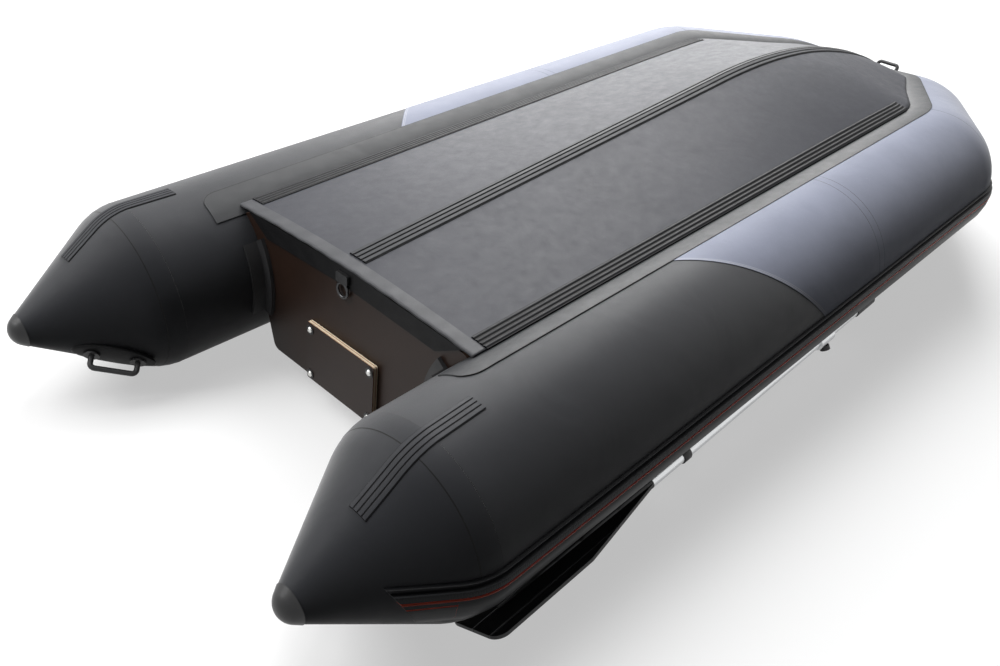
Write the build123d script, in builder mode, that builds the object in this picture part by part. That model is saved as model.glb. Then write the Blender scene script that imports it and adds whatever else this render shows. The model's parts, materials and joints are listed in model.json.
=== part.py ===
from build123d import *
import os
from math import asin, atan2, cos, degrees, hypot, radians, sin, sqrt, tan

# Inflatable motor boat, lying bottom up. It is drawn level first: X runs to the bow from the seam between
# tube and stern cone, Z points up, out of the bottom, and the axes of the side tubes start at Z = 0.
# Port is on -Y because the boat is upside down. At the end it is laid down as it rests on the floor.

# Buoyancy tubes: two straight sides that draw together and dip towards the bow, two shoulders and two nose
# halves, mitred together. The spacings are between tube axes, and the drops are below the stern's axes.
tube_radius = 225
tube_spacing = 1120
fore_spacing = 1044
side_length = 2313
side_drop = 16
shoulder_reach = 429
shoulder_spacing = 560
shoulder_drop = 88
nose_reach = 248
nose_drop = 188
colour_seam_x = 1079
colour_seam_slope = 0.99
colour_seam_angle = -40

# Stern cones, which curve in from the tube and then run straight to a round tip, and their moulded end caps
cone_start = 38
cone_length = 298
cone_shoulder_radius = 180
cone_tip_radius = 41
cap_length = 30
cap_lip = 1

# Bottom: fabric panels from the keel line to the chine line on the tubes
panel_thickness = 6
panel_edge_slant = 18
chine_angle = 35
chine_fore_angle = 25
shoulder_fold_angle = 15
nose_fold_angle = 16
keel_aft_rise = 32
keel_crown_setback = 513
keel_crown_rise = 116
bottom_turn_setback = 259
keel_end_setback = 50
keel_end_rise = 39

# Ribbed strips: keel strake, chine strakes and the strips over the cone seams
rib_count = 4
rib_height = 5
rib_share = 0.6
strip_base = 3
keel_strake_width = 64
keel_strake_lift = 0.95
chine_strake_width = 56
chine_strake_inset = 12
chine_strake_setback = 60
seam_strip_width = 44
seam_strip_angle = 86
seam_strip_fore = 178
seam_strip_aft = 160
seam_strip_lift = 1
seam_strip_steps = 5

# Rub strake along the widest line of the tubes
rub_top_angle = 7
rub_bottom_angle = -23
rub_height = 12
rub_cone_reach = 130
rub_cone_steps = 8
rub_profile = [
    # share of the half width, from the upper edge down, and share of the height
    (1, 0), (0.98, 0.5), (0.92, 0.5), (0.89, 0.2), (0.8, 0.2), (0.76, 0.75), (0.34, 1), (0.3, 0.8), (0.2, 0.8),
    (0.17, 0.95), (0.09, 0.95), (0.05, 0.8), (-0.1, 0.8), (-0.16, 0.95), (-0.5, 0.75), (-0.95, 0.35), (-1, 0),
]

# Transom, leaning aft towards its free edge, with its pads, skirt, holders and towing ring
transom_x = 302
transom_rake = 5.5
transom_thickness = 32
transom_free_edge = -174
transom_free_half_width = 300
transom_shoulder = -60
transom_corner = 24
board_gap = 1.2
pad_width = 266
pad_height = 170
pad_top = 1
pad_thickness = 15
pad_corner = 6
skirt_height = 48
skirt_thickness = 3
holder_flange = 34
holder_flange_thickness = 10
holder_skirt = 46
holder_skirt_thickness = 7
holder_top = 125
holder_bottom = -60
ring_radius = 19
ring_wire = 4
ring_base_width = 44
ring_base_height = 26
ring_base_top = 196
ring_base_corner = 5
ring_base_thickness = 9

# Carrying handles
handle_length = 150
handle_height = 36
handle_bar = 7
handle_foot_radius = 20
handle_foot_thickness = 5
handle_bend = 12
stern_handle_x = -112
stern_handle_angle = -146
bow_handle_setback = 15
bow_handle_angle = 69
bow_handle_height = 28

# Oars, rowlocks and oar clips
rowlock_x = 1520
rowlock_angle = -59.5
oar_height = 37
oar_blade_x = 150
oar_blade_angle = -48.5
oar_blade_height = 29
oar_tip_x = 27
oar_shaft_x = 634
oar_grip_x = 1730
oar_end_x = 1850
shaft_radius = 15
grip_radius = 18
grip_round = 8
collar_radius = 22
collar_length = 80
blade_width = 150
blade_thickness = 8
blade_neck_x = 323
blade_turn = -6.5
blade_corner = 30
blade_rib = 6
pin_radius = 6
pin_play = 0.05
pin_shoulder_gap = 0.6
rowlock_base_radius = 36
rowlock_base_height = 10
knob_radius = 15
knob_height = 14
clip_x = 825
clip_length = 40
clip_wall = 7
clip_play = 1

# Inside: air deck, benches and valves
deck_aft_reach = 20
deck_fore_reach = 60
deck_low = 90
deck_thickness = 60
deck_corner = 240
bench_width = 230
bench_thickness = 22
bench_height = -105
bench_corner = 20
aft_bench_reach = 658
fore_bench_setback = 593
valve_radius = 32
valve_height = 8
valve_cap_radius = 22
valve_cap_height = 10
valve_angle = -140
aft_valve_reach = 258
fore_valve_setback = 413

# Clearance between pieces that are glued or seated on each other
seat = 0.3

half_spacing = tube_spacing / 2
shoulder_x = side_length + shoulder_reach
nose_x = shoulder_x + nose_reach
keel_crown_x = side_length - keel_crown_setback
keel_end_x = nose_x - keel_end_setback
keel_aft_height = tube_radius * cos(radians(chine_angle)) + keel_aft_rise
keel_crown_height = tube_radius * cos(radians(chine_angle)) + keel_crown_rise
keel_end_height = tube_radius - nose_drop + keel_end_rise
handle_leg = handle_length / 2 - handle_foot_radius
sides = [("port", -1), ("starboard", 1)]


def turned(vector, before, after):
    """The vector, turned the way that takes one direction into another."""
    return vector.rotate(Axis((0, 0, 0), before.cross(after)), before.get_angle(after))


class Run:
    """One straight length of tube: where it starts, its direction, and which way is out and up."""

    def __init__(self, start, end, out, up):
        self.start = start
        self.along = (end - start).normalized()
        self.length = (end - start).length
        self.out = out
        self.up = up

    def radial(self, angle):
        return self.out * cos(radians(angle)) + self.up * sin(radians(angle))

    def spot(self, distance, angle, radius):
        return self.start + self.along * distance + self.radial(angle) * radius


def tube_runs(side):
    """The side, shoulder and nose runs of one side of the boat."""
    points = [
        Vector(0, side * half_spacing, 0),
        Vector(side_length, side * fore_spacing / 2, -side_drop),
        Vector(shoulder_x, side * shoulder_spacing / 2, -shoulder_drop),
        Vector(nose_x, 0, -nose_drop),
    ]
    runs = []
    ahead, out, up = Vector(1, 0, 0), Vector(0, side, 0), Vector(0, 0, 1)
    for start, end in zip(points[:-1], points[1:]):
        along = (end - start).normalized()
        out = turned(out, ahead, along)
        up = turned(up, ahead, along)
        runs.append(Run(start, end, out, up))
        ahead = along
    return runs


def side_half(x):
    """Distance of a side tube's axis from the middle of the boat."""
    return half_spacing + (fore_spacing / 2 - half_spacing) * x / side_length


def side_level(x):
    """Height of a side tube's axis."""
    return -side_drop * x / side_length


def inner_half(x, height):
    """Half of the room between the side tubes at a height."""
    return side_half(x) - sqrt((tube_radius + seat) ** 2 - (height - side_level(x)) ** 2)


def mitres(runs, side):
    """The planes that end the runs: start of the cone, two mitres and the middle of the boat."""
    normals = [runs[0].along]
    normals += [before.along + after.along for before, after in zip(runs[:-1], runs[1:])]
    normals.append(Vector(0, -side, 0))
    origins = [runs[0].start + runs[0].along * cone_start]
    origins += [run.start for run in runs[1:]] + [Vector(nose_x, 0, -nose_drop)]
    return [Plane(origin=origin, z_dir=normal.normalized()) for origin, normal in zip(origins, normals)]


def across(run):
    """The plane of a run's cross section, set back so that a length along it passes both mitres."""
    return Plane(origin=run.start - run.along * tube_radius, x_dir=run.out, z_dir=run.along)


def tube_piece(run, aft, fore):
    """A length of round tube between two planes."""
    with BuildPart() as tube:
        with BuildSketch(across(run)):
            Circle(tube_radius)
        extrude(amount=run.length + 2 * tube_radius)
        split(bisect_by=aft, keep=Keep.TOP)
        split(bisect_by=fore, keep=Keep.BOTTOM)
    return tube


def colour_seam(run):
    """The slanting plane where the black aft tube meets the grey fore tube."""
    normal = run.along - run.radial(colour_seam_angle) * colour_seam_slope
    return Plane(origin=run.start + run.along * colour_seam_x, z_dir=normal.normalized())


def rub_section(side, radius):
    """Section of the rub strake: a low band on the tube with a lip, a broad ridge and a thin line along it."""
    half_turn = (rub_top_angle - rub_bottom_angle) / 2 * tube_radius / radius
    middle = (rub_top_angle + rub_bottom_angle) / 2

    def place(share, height):
        angle = radians(middle + share * half_turn)
        reach = radius + seat + height
        return (reach * cos(angle), side * reach * sin(angle))

    with BuildSketch() as section:
        with BuildLine():
            ThreePointArc(place(-1, 0), place(0, 0), place(1, 0))
            Polyline(*[place(share, height_share * rub_height) for share, height_share in rub_profile])
        make_face()
    return section.sketch


def rub_piece(run, side, aft, fore):
    """A length of rub strake on one run of tube."""
    with BuildPart() as strake:
        with BuildSketch(across(run)):
            add(rub_section(side, tube_radius))
        extrude(amount=run.length + 2 * tube_radius)
        split(bisect_by=aft, keep=Keep.TOP)
        split(bisect_by=fore, keep=Keep.BOTTOM)
    return strake


# The cone's straight slope touches the curve that leads in from the tube and the round tip
cone_inset = tube_radius - cone_shoulder_radius
cone_slant = atan2(cone_inset, cone_length)
cone_slant += asin((cone_shoulder_radius - cone_tip_radius) / hypot(cone_length, cone_inset))
cone_curve_end = cone_start - cone_shoulder_radius * sin(cone_slant)
cone_tip_x = cone_start - cone_length
cap_x = cone_tip_x - cone_tip_radius + cap_length


def cone_radius(x):
    """Radius of the tube, the cone's curve or its straight slope."""
    if x > cone_start:
        return tube_radius
    if x > cone_curve_end:
        return cone_inset + sqrt(cone_shoulder_radius ** 2 - (x - cone_start) ** 2)
    return cone_inset + cone_shoulder_radius * cos(cone_slant) + (x - cone_curve_end) * tan(cone_slant)


def along_curve(steps):
    """Places along the cone's curve, evenly spaced."""
    return [cone_start + (cone_curve_end - cone_start) * step / steps for step in range(steps + 1)]


def ribs(width):
    """Outline of a ribbed strip's upper side: distance across and height, from edge to edge."""
    pitch = width / rib_count
    outline = [(-width / 2, strip_base)]
    for index in range(rib_count):
        middle = (index + 0.5) * pitch - width / 2
        half = rib_share * pitch / 2
        outline += [(middle - half, strip_base), (middle - half / 2, strip_base + rib_height)]
        outline += [(middle + half / 2, strip_base + rib_height), (middle + half, strip_base)]
    outline.append((width / 2, strip_base))
    return outline


# The keel line rises straight to its crown and then falls to the bow in one tangent arc
keel_slope = (keel_crown_height - keel_aft_height) / (keel_crown_x - transom_x)
keel_turn = atan2(keel_slope, 1) - atan2(keel_end_height - keel_crown_height, keel_end_x - keel_crown_x)
keel_chord = hypot(keel_end_x - keel_crown_x, keel_end_height - keel_crown_height)
keel_arc_radius = keel_chord / (2 * sin(keel_turn))
keel_arc_x = keel_crown_x + keel_arc_radius * sin(atan2(keel_slope, 1))
keel_arc_z = keel_crown_height - keel_arc_radius * cos(atan2(keel_slope, 1))


def keel_height(x):
    """Height of the keel line, the ridge of the bottom."""
    if x < keel_crown_x:
        return keel_aft_height + keel_slope * (x - transom_x)
    return keel_arc_z + sqrt(keel_arc_radius ** 2 - (x - keel_arc_x) ** 2)


def keel_place(share):
    """Place on the keel line between the end of the side tubes and its own end at the bow."""
    return side_length + share * (keel_end_x - side_length)


def chine_fold(x):
    """How far the chine is folded inwards from the top of a side tube, which keeps its line straight."""
    return chine_angle + (chine_fore_angle - chine_angle) * x / side_length


# Sections of the bottom: which run carries its edge, how far along it (as a share), and where it meets the keel.
# The first four stand square across the boat and carry the chine strakes too.
bottom_sections = [
    # run, share of the run, fold angle, keel x
    (0, x / side_length, chine_fold(x), x)
    for x in (transom_x, keel_crown_x, side_length - bottom_turn_setback, side_length - chine_strake_setback)
]
chine_strake_sections = bottom_sections[:]
bottom_sections += [
    # run, share of the run, fold angle, keel x
    (1, 0.5, (chine_fore_angle + shoulder_fold_angle) / 2, keel_place(0.4)),
    (1, 0.93, shoulder_fold_angle, keel_place(0.68)),
    (2, 0.3, (shoulder_fold_angle + nose_fold_angle) / 2, keel_place(0.87)),
    (2, 0.6, nose_fold_angle, keel_end_x),
]


def bottom_section(runs, section):
    """Keel point, chine point and the upright plane through both, its X running out from the keel."""
    run_index, share, fold, keel_x = section
    run = runs[run_index]
    chine = run.spot(share * run.length, 90 + fold, tube_radius + seat + panel_thickness)
    keel = Vector(keel_x, 0, keel_height(keel_x))
    outward = Vector(chine.X - keel.X, chine.Y, 0)
    direction = outward.normalized()
    plane = Plane(origin=(keel_x, 0, 0), x_dir=direction, z_dir=direction.cross(Vector(0, 0, 1)))
    return keel, chine, outward.length, plane


def bottom_panel(runs):
    """One half of the V bottom, from the keel line to the tube."""
    with BuildPart() as panel:
        for section in bottom_sections:
            keel, chine, width, plane = bottom_section(runs, section)
            slope = (keel.Z - chine.Z) / width
            inner = width - panel_edge_slant
            with BuildSketch(plane):
                with BuildLine():
                    Polyline(
                        (0, keel.Z), (width, chine.Z),
                        (inner, chine.Z + slope * panel_edge_slant - panel_thickness),
                        (0, keel.Z - panel_thickness), close=True,
                    )
                make_face()
        loft(ruled=True)
    return panel


def chine_strake(runs):
    """Ribbed strip on the bottom, beside the tube."""
    with BuildPart() as strake:
        for section in chine_strake_sections:
            keel, chine, width, plane = bottom_section(runs, section)
            slope = (keel.Z - chine.Z) / width
            middle = width - chine_strake_inset - chine_strake_width / 2
            low = chine.Z + slope * (width - middle) + seat
            outline = [(middle + away, low - slope * away + height) for away, height in ribs(chine_strake_width)]
            half = chine_strake_width / 2
            with BuildSketch(plane):
                with BuildLine():
                    Polyline(
                        (middle - half, low + slope * half), *outline,
                        (middle + half, low - slope * half), close=True,
                    )
                make_face()
        loft(ruled=True)
    return strake


def keel_side_slope(runs, index):
    """How steeply the bottom falls away from the keel, across the boat, at a section."""
    keel, chine, width, plane = bottom_section(runs, bottom_sections[index])
    ahead = bottom_sections[min(index + 1, len(bottom_sections) - 1)][3]
    behind = bottom_sections[max(index - 1, 0)][3]
    rise = (keel_height(ahead) - keel_height(behind)) / (ahead - behind)
    fall = keel.Z + rise * (chine.X - keel.X) - chine.Z
    return fall / abs(chine.Y)


def seam_strip(run, side):
    """Ribbed strip that runs over the seam from the tube down the cone."""
    half = seam_strip_width / 2
    with BuildPart() as strip:
        for x in [seam_strip_fore, *along_curve(seam_strip_steps), -seam_strip_aft]:
            radius = cone_radius(x)

            def place(away, height):
                angle = radians(seam_strip_angle) + away / radius
                return ((radius + seat + height) * cos(angle), side * (radius + seat + height) * sin(angle))

            with BuildSketch(Plane(origin=run.start + run.along * x, x_dir=run.out, z_dir=run.along)):
                with BuildLine():
                    Polyline(*[place(away, height) for away, height in ribs(seam_strip_width)])
                    Polyline(
                        place(half, strip_base), place(half, seam_strip_lift), place(0, seam_strip_lift),
                        place(-half, seam_strip_lift), place(-half, strip_base),
                    )
                make_face()
        loft(ruled=True)
    return strip


def handle(feet, height):
    """Moulded carrying handle: a bar on two legs, each on a round foot on its own plane."""
    first, last = feet
    with BuildPart() as grip:
        for foot in feet:
            with BuildSketch(foot):
                Circle(handle_foot_radius)
            extrude(amount=handle_foot_thickness)
        with BuildLine() as path:
            FilletPolyline(
                first.origin + first.z_dir * handle_foot_thickness / 2, first.origin + first.z_dir * height,
                last.origin + last.z_dir * height, last.origin + last.z_dir * handle_foot_thickness / 2,
                radius=handle_bend,
            )
        with BuildSketch(Plane(origin=path.line @ 0, z_dir=path.line % 0)):
            Circle(handle_bar)
        sweep()
    return grip


pieces = {}

# Tubes, cones, caps, rub strakes, seam strips, bottom and chine strakes of each side
transom_lean = radians(transom_rake)
transom_up = Vector(sin(transom_lean), 0, cos(transom_lean))
transom_aft = Vector(-cos(transom_lean), 0, sin(transom_lean))
runs_of = {name: tube_runs(side) for name, side in sides}
for name, side in sides:
    runs = runs_of[name]
    ends = mitres(runs, side)
    seam = colour_seam(runs[0])
    pieces[name + "_tube_aft"] = tube_piece(runs[0], ends[0], seam)
    pieces[name + "_tube_fore"] = tube_piece(runs[0], seam, ends[1])
    pieces[name + "_bow_shoulder"] = tube_piece(runs[1], ends[1], ends[2])
    pieces[name + "_bow_nose"] = tube_piece(runs[2], ends[2], ends[3])
    pieces[name + "_rub_shoulder"] = rub_piece(runs[1], side, ends[1], ends[2])
    pieces[name + "_rub_nose"] = rub_piece(runs[2], side, ends[2], ends[3])

    with BuildPart() as rub_side:
        add(rub_piece(runs[0], side, ends[0], ends[1]).part)
        for x in [*along_curve(rub_cone_steps), -rub_cone_reach]:
            with BuildSketch(Plane(origin=runs[0].start + runs[0].along * x, x_dir=runs[0].out, z_dir=runs[0].along)):
                add(rub_section(side, cone_radius(x)))
        loft(ruled=True)
    pieces[name + "_rub_side"] = rub_side

    lengthwise = Plane(origin=runs[0].start, x_dir=runs[0].along, z_dir=runs[0].along.cross(runs[0].up))
    tube_axis = Axis(runs[0].start, runs[0].along)
    curve_start, curve_middle, curve_end = [(x, cone_radius(x)) for x in along_curve(2)]
    with BuildPart() as cone:
        with BuildSketch(lengthwise):
            with BuildLine():
                Polyline((cap_x, 0), (cone_start, 0), curve_start)
                ThreePointArc(curve_start, curve_middle, curve_end)
                Polyline(curve_end, (cap_x, cone_radius(cap_x)), (cap_x, 0))
            make_face()
        revolve(axis=tube_axis)
    pieces[name + "_stern_cone"] = cone

    cap_radius = cone_tip_radius + cap_lip
    cap_tip = (cone_tip_x - cap_radius, 0)
    cap_rim = (cap_x, cone_radius(cap_x) + cap_lip / cos(cone_slant))
    tip_start, tip_middle = [
        (cone_tip_x - cap_radius * sin(turn), cap_radius * cos(turn))
        for turn in (cone_slant, (cone_slant + radians(90)) / 2)
    ]
    with BuildPart() as cap:
        with BuildSketch(lengthwise):
            with BuildLine():
                Polyline(cap_tip, (cap_x, 0), cap_rim, tip_start)
                ThreePointArc(tip_start, tip_middle, cap_tip)
            make_face()
        revolve(axis=tube_axis)
    pieces[name + "_cone_cap"] = cap

    pieces[name + "_seam_strip"] = seam_strip(runs[0], side)
    pieces[name + "_bottom_panel"] = bottom_panel(runs)
    pieces[name + "_chine_strake"] = chine_strake(runs)

# Keel strake over the ridge of the bottom
with BuildPart() as keel_strake:
    for index, section in enumerate(bottom_sections):
        x = section[3]
        low = keel_height(x) + keel_strake_lift
        slope = keel_side_slope(runs_of["port"], index)
        half = keel_strake_width / 2
        outline = [(away, low - slope * abs(away) + height) for away, height in ribs(keel_strake_width)]
        with BuildSketch(Plane(origin=(x, 0, 0), x_dir=(0, 1, 0), z_dir=(1, 0, 0))):
            with BuildLine():
                Polyline((0, low), (-half, low - slope * half), *outline, (half, low - slope * half), close=True)
            make_face()
    loft(ruled=True)
pieces["keel_strake"] = keel_strake

# Transom board. Its lower edge follows the bottom, its sides follow the tubes and then turn in
transom_foot = Vector(transom_x, 0, keel_aft_height)
transom_face = Plane(
    origin=transom_foot - transom_up * (keel_aft_height / cos(transom_lean)), x_dir=(0, -1, 0), z_dir=transom_aft
)
port_keel, port_chine, bottom_width, bottom_plane = bottom_section(runs_of["port"], bottom_sections[0])
board_depth = transom_thickness / cos(transom_lean)
board_keel = (keel_aft_height - panel_thickness - seat) / cos(transom_lean)
board_chine_half = bottom_width - panel_edge_slant
board_chine = board_keel - (port_keel.Z - port_chine.Z) / bottom_width * board_chine_half
tube_gap_radius = tube_radius + board_gap


def beside_tube(height):
    """Half width of the board where it follows the tubes."""
    middle_x = transom_face.origin.X + board_depth / 2
    return side_half(middle_x) - sqrt(tube_gap_radius ** 2 - (height - side_level(middle_x)) ** 2)


board_side_top = board_chine - panel_thickness
with BuildPart() as transom:
    with BuildSketch(transom_face) as board:
        with BuildLine():
            for mirror_side in (-1, 1):
                Polyline(
                    (0, board_keel), (mirror_side * board_chine_half, board_chine),
                    (mirror_side * beside_tube(board_side_top), board_side_top),
                )
                ThreePointArc(
                    (mirror_side * beside_tube(board_side_top), board_side_top),
                    (mirror_side * beside_tube(0), 0),
                    (mirror_side * beside_tube(transom_shoulder), transom_shoulder),
                )
                Polyline(
                    (mirror_side * beside_tube(transom_shoulder), transom_shoulder),
                    (mirror_side * transom_free_half_width, transom_free_edge), (0, transom_free_edge),
                )
        make_face()
        free_corners = board.vertices().group_by(Axis.Y)[0].sort_by(Axis.X)
        fillet([free_corners[0], free_corners[-1]], transom_corner)
    extrude(amount=board_depth, dir=(1, 0, 0))
pieces["transom"] = transom

# Skirt: the bottom's fabric turned down over the board, clear of the holders at its ends
skirt_low_half = board_chine_half - skirt_height - holder_flange
with BuildPart() as transom_skirt:
    with BuildSketch(transom_face):
        with BuildLine():
            Polyline(
                (-board_chine_half, board_chine), (0, board_keel), (board_chine_half, board_chine),
                (skirt_low_half, board_chine - skirt_height), (0, board_keel - skirt_height),
                (-skirt_low_half, board_chine - skirt_height), close=True,
            )
        make_face()
    extrude(amount=skirt_thickness)
pieces["transom_skirt"] = transom_skirt

# Motor pads on both faces of the board
pad_middle = pad_top - pad_height / 2
with BuildPart() as motor_pad_outer:
    with BuildSketch(transom_face):
        with Locations((0, pad_middle)):
            RectangleRounded(pad_width, pad_height, pad_corner)
    extrude(amount=pad_thickness)
pieces["motor_pad_outer"] = motor_pad_outer

inner_face = Plane(origin=transom_face.origin + Vector(board_depth, 0, 0), x_dir=(0, -1, 0), z_dir=transom_aft)
with BuildPart() as motor_pad_inner:
    with BuildSketch(inner_face):
        with Locations((0, pad_middle)):
            RectangleRounded(pad_width, pad_height, pad_corner)
    extrude(amount=-pad_thickness)
pieces["motor_pad_inner"] = motor_pad_inner


def holder_sector(mirror_side, depth, x):
    """Sector around the tube, as deep as the holder stands off it, in the plane of the board."""
    def place(height, reach):
        share = height / tube_radius
        return (mirror_side * (side_half(x) - reach * sqrt(1 - share ** 2)), side_level(x) + reach * share)

    inner = tube_gap_radius
    outer = tube_gap_radius + depth
    with BuildSketch() as sector:
        with BuildLine():
            ThreePointArc(place(holder_top, inner), place(0, inner), place(holder_bottom, inner))
            Line(place(holder_bottom, inner), place(holder_bottom, outer))
            ThreePointArc(place(holder_bottom, outer), place(0, outer), place(holder_top, outer))
            Line(place(holder_top, outer), place(holder_top, inner))
        make_face()
    return sector.sketch


# Transom holders: rubber angles glued to the tube on both faces of the board
for name, side in sides:
    with BuildPart() as holder:
        for face, way in ((transom_face, -1), (inner_face, 1)):
            for depth, reach in ((holder_flange, holder_flange_thickness), (holder_skirt_thickness, holder_skirt)):
                with BuildSketch(face):
                    add(holder_sector(-side, depth, face.origin.X))
                extrude(amount=reach, dir=runs_of[name][0].along * way)
    pieces[name + "_transom_holder"] = holder

# Towing ring on the skirt
ring_middle = ring_base_top - ring_base_height - ring_radius
skirt_face = transom_face.offset(skirt_thickness)
with BuildPart() as transom_ring:
    with BuildSketch(skirt_face):
        with Locations((0, ring_base_top - ring_base_height / 2)):
            RectangleRounded(ring_base_width, ring_base_height, ring_base_corner)
    extrude(amount=ring_base_thickness)
    ring_centre = skirt_face.from_local_coords(Vector(0, ring_middle, ring_base_thickness / 2))
    with Locations(Plane(origin=ring_centre, x_dir=(0, -1, 0), z_dir=transom_aft)):
        Torus(ring_radius, ring_wire)
pieces["transom_ring"] = transom_ring

# Handles: one over the nose, one on the inner side of each stern cone
bow_feet = []
for name, side in sides:
    run = runs_of[name][2]
    spot = run.spot(run.length - bow_handle_setback, bow_handle_angle, tube_radius + seat)
    bow_feet.append(Plane(origin=spot, x_dir=run.along, z_dir=run.radial(bow_handle_angle)))
pieces["bow_handle"] = handle(bow_feet, bow_handle_height)

for name, side in sides:
    run = runs_of[name][0]
    radial = run.radial(stern_handle_angle)
    normal = radial * cos(cone_slant) - run.along * sin(cone_slant)
    slope = run.along * cos(cone_slant) + radial * sin(cone_slant)
    middle = run.spot(stern_handle_x, stern_handle_angle, cone_radius(stern_handle_x)) + normal * seat
    feet = [Plane(origin=middle + slope * away, x_dir=slope, z_dir=normal) for away in (-handle_leg, handle_leg)]
    pieces[name + "_stern_handle"] = handle(feet, handle_height)

# Oars stowed along the tubes, each on the pin of its rowlock
oar_frames = {}
for name, side in sides:
    run = runs_of[name][0]
    radial = run.radial(rowlock_angle)
    pivot = run.spot(rowlock_x, rowlock_angle, tube_radius + oar_height)
    blade_point = run.spot(oar_blade_x, oar_blade_angle, tube_radius + oar_blade_height)
    along = (blade_point - pivot).normalized()
    pin = (radial - along * radial.dot(along)).normalized()
    oar_frames[name] = (pivot, along, pin)
    cross = Plane(origin=pivot, x_dir=pin, z_dir=along)
    stretch = 1 / abs(along.X)
    to_tip, to_neck, to_shaft, to_grip, to_end = [
        (rowlock_x - x) * stretch for x in (oar_tip_x, blade_neck_x, oar_shaft_x, oar_grip_x, oar_end_x)
    ]

    with BuildPart() as shaft:
        with BuildSketch(cross.offset(to_grip)):
            Circle(shaft_radius)
        extrude(amount=to_shaft - to_grip)
        with BuildSketch(cross.offset(-collar_length / 2)):
            Circle(collar_radius)
        extrude(amount=collar_length)
        with BuildSketch(Plane(origin=pivot - pin * collar_radius * 2, z_dir=pin)):
            Circle(pin_radius + pin_play)
        extrude(amount=collar_radius * 4, mode=Mode.SUBTRACT)
    pieces[name + "_oar_shaft"] = shaft

    with BuildPart() as grip:
        with BuildSketch(cross.offset(to_end)):
            Circle(grip_radius)
        extrude(amount=to_grip - to_end)
        fillet(grip.edges().filter_by(GeomType.CIRCLE).sort_by(Axis(pivot, along))[0], grip_round)
    pieces[name + "_oar_grip"] = grip

    flat = Plane(origin=pivot, x_dir=along, z_dir=pin.rotate(Axis((0, 0, 0), along), -side * blade_turn))
    half = blade_width / 2
    with BuildPart() as blade:
        with BuildSketch(flat.offset(-blade_thickness / 2)) as outline:
            with BuildLine():
                Polyline(
                    (to_shaft, shaft_radius), (to_neck, half), (to_tip, half), (to_tip, -half),
                    (to_neck, -half), (to_shaft, -shaft_radius), close=True,
                )
            make_face()
            fillet(outline.vertices().group_by(SortBy.DISTANCE)[-1], blade_corner)
        extrude(amount=blade_thickness)
        with BuildSketch(cross.offset(to_shaft)):
            Circle(shaft_radius)
        with BuildSketch(cross.offset(to_tip - half)):
            Circle(blade_rib)
        loft()
    pieces[name + "_oar_blade"] = blade

    base = Plane(origin=run.spot(rowlock_x, rowlock_angle, tube_radius + seat), x_dir=run.along, z_dir=radial)
    root = Plane(origin=pivot - pin * (oar_height - rowlock_base_height / 2), z_dir=pin)
    root_height = oar_height - rowlock_base_height / 2
    shoulder = collar_radius + pin_shoulder_gap
    with BuildPart() as rowlock:
        with BuildSketch(base):
            Circle(rowlock_base_radius)
        extrude(amount=rowlock_base_height)
        with BuildSketch(root):
            Circle(collar_radius)
        extrude(amount=root_height - shoulder)
        with BuildSketch(root):
            Circle(pin_radius)
        extrude(amount=root_height + shoulder)
        with BuildSketch(root.offset(root_height + shoulder)):
            Circle(knob_radius)
        extrude(amount=knob_height)
    pieces[name + "_rowlock"] = rowlock

    rest_point = pivot + along * ((rowlock_x - clip_x) * stretch)
    off_axis = rest_point - run.start - run.along * (rest_point - run.start).dot(run.along)
    clip_radial = off_axis - along * off_axis.dot(along)
    clip_gap = off_axis.length - tube_radius
    clip_plane = Plane(origin=rest_point + along * clip_length / 2, x_dir=clip_radial, z_dir=along * -1)
    jaw = shaft_radius + clip_play
    with BuildPart() as clip:
        with BuildSketch(clip_plane):
            with BuildLine():
                Polyline(
                    (seat - clip_gap, -side * (jaw + clip_wall)), (seat - clip_gap, side * (jaw + clip_wall)),
                    (-jaw, side * (jaw + clip_wall)), (-jaw, -side * jaw), (jaw, -side * jaw),
                    (jaw, -side * (jaw + clip_wall)), close=True,
                )
            make_face()
        extrude(amount=clip_length)
    pieces[name + "_oar_clip"] = clip


def between_tubes(aft_x, fore_x, height):
    """Plan of a piece that fills the room between the side tubes at a height."""
    aft_half = inner_half(aft_x, height)
    fore_half = inner_half(fore_x, height)
    with BuildSketch() as plan:
        Polygon((aft_x, -aft_half), (fore_x, -fore_half), (fore_x, fore_half), (aft_x, aft_half), align=None)
    return plan.sketch


# Air deck between the tubes
deck_aft_x = transom_x + board_depth + holder_skirt + deck_aft_reach
deck_fore_x = side_length + deck_fore_reach
with BuildPart() as air_deck:
    with BuildSketch(Plane.XY.offset(deck_low)) as deck_plan:
        add(between_tubes(deck_aft_x, deck_fore_x, deck_low))
        fillet(deck_plan.vertices().group_by(Axis.X)[-1], deck_corner)
    extrude(amount=deck_thickness)
pieces["air_deck"] = air_deck

# Benches, held between the tubes
for name, bench_x in [("aft", transom_x + aft_bench_reach), ("fore", side_length - fore_bench_setback)]:
    with BuildPart() as bench:
        with BuildSketch(Plane.XY.offset(bench_height)) as bench_plan:
            add(between_tubes(bench_x - bench_width / 2, bench_x + bench_width / 2, bench_height))
            fillet(bench_plan.vertices(), bench_corner)
        extrude(amount=-bench_thickness)
    pieces[name + "_bench"] = bench

# Inflation valves on the inner side of the tubes
for name, side in sides:
    run = runs_of[name][0]
    with BuildPart() as valves:
        for valve_x in (transom_x + aft_valve_reach, side_length - fore_valve_setback):
            radial = run.radial(valve_angle)
            foot = Plane(origin=run.spot(valve_x, valve_angle, tube_radius + seat), x_dir=run.along, z_dir=radial)
            with BuildSketch(foot):
                Circle(valve_radius)
            extrude(amount=valve_height)
            with BuildSketch(foot.offset(valve_height)):
                Circle(valve_cap_radius)
            extrude(amount=valve_cap_height)
    pieces[name + "_valves"] = valves

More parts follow.
